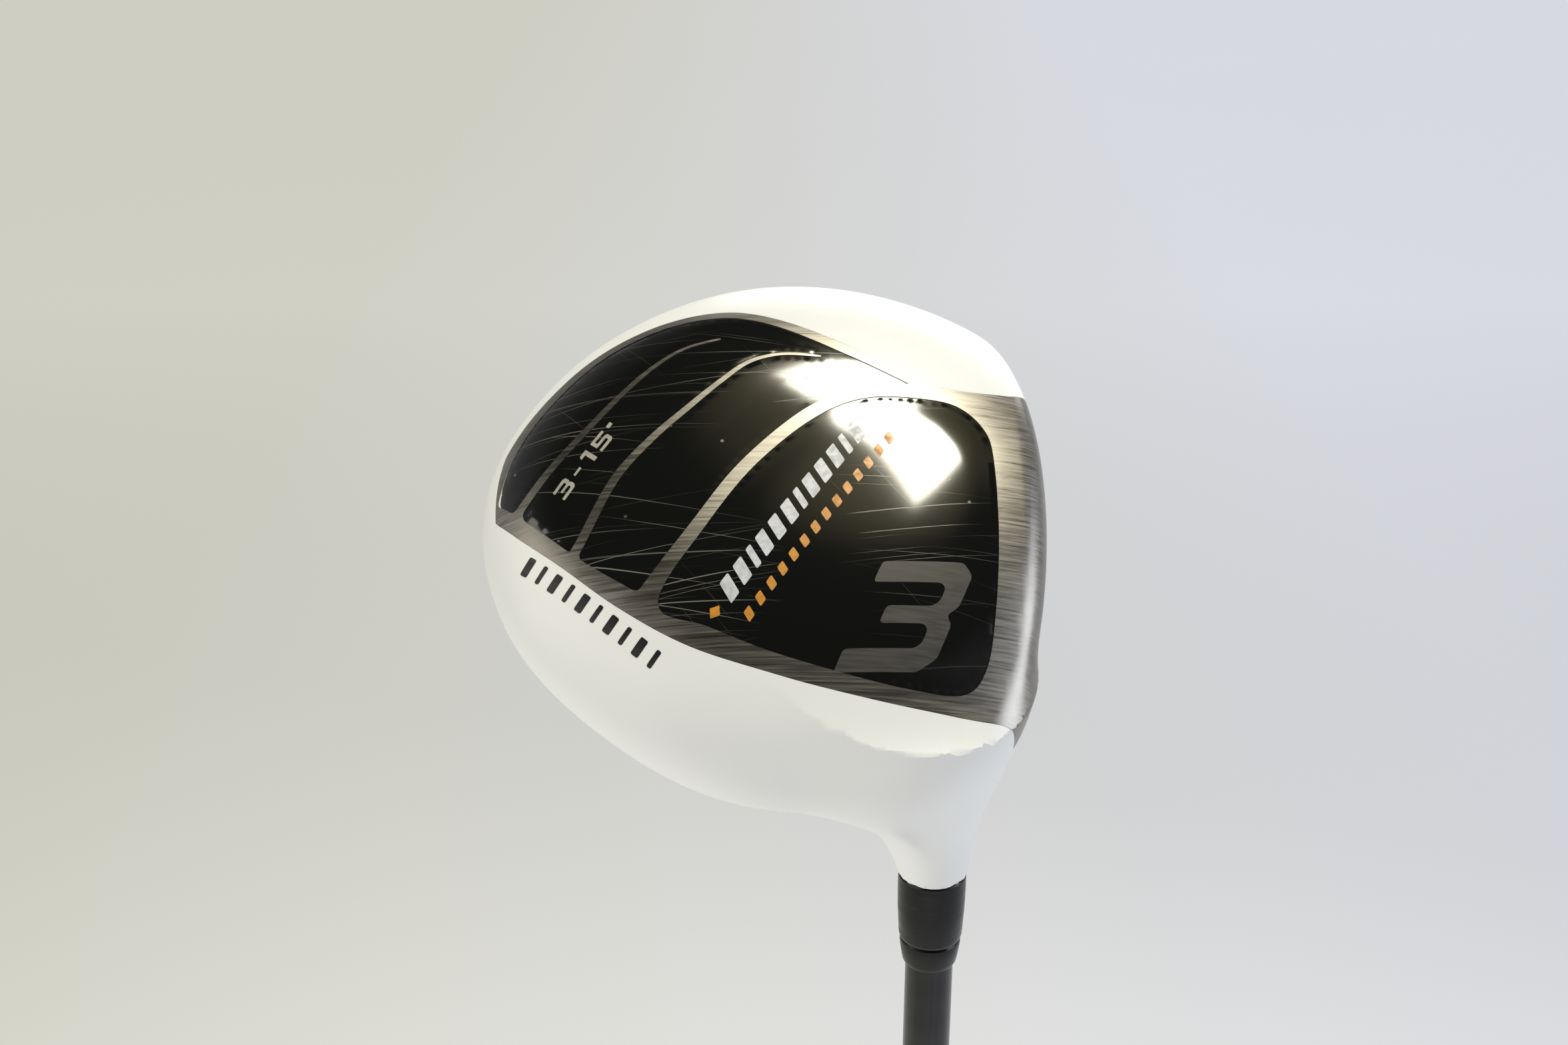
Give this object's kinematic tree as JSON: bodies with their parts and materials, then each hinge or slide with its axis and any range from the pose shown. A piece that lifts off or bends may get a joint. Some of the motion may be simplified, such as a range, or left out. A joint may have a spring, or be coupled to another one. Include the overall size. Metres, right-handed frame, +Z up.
{
  "type": "golf fairway wood",
  "caption": "Right-handed fairway wood: hollow rounded head with lofted face and ribbed sole plate on a long tapered shaft, with a ferrule at the hosel and a tapered rubber grip.",
  "frame": {"origin": "centre of the flat butt end of the grip cap, on the shaft's axis", "axes": "+Z runs up the shaft's axis to the head, +X is the way the face looks, +Y runs from heel to toe"},
  "size_m": [0.1007, 0.0947, 1.1361],
  "materials": {
    "white_paint": "gloss white paint",
    "brushed_steel": "brushed, warm grey",
    "gloss_black": "high gloss black lacquer",
    "black_plastic": "satin black",
    "graphite": "clear-coated dark graphite composite",
    "brass": "turned",
    "cork": "raw cork",
    "tape": "paper tape",
    "rubber": "matt textured"
  },
  "bodies": {
    "root": {"crown_shell": "white_paint", "body_casting": "white_paint", "face_insert": "brushed_steel", "sole_plate": "brushed_steel", "sole_inlay_rear": "gloss_black", "sole_inlay_front": "gloss_black", "hosel_tube": "brushed_steel", "rear_weight": "brushed_steel", "ferrule_collar": "black_plastic", "ferrule_end_ring": "black_plastic", "shaft_tube": "graphite", "tip_weight": "brass", "tip_plug": "cork", "grip_tape": "tape", "grip_sleeve": "rubber", "grip_cap": "rubber"}
  },
  "joints": []
}
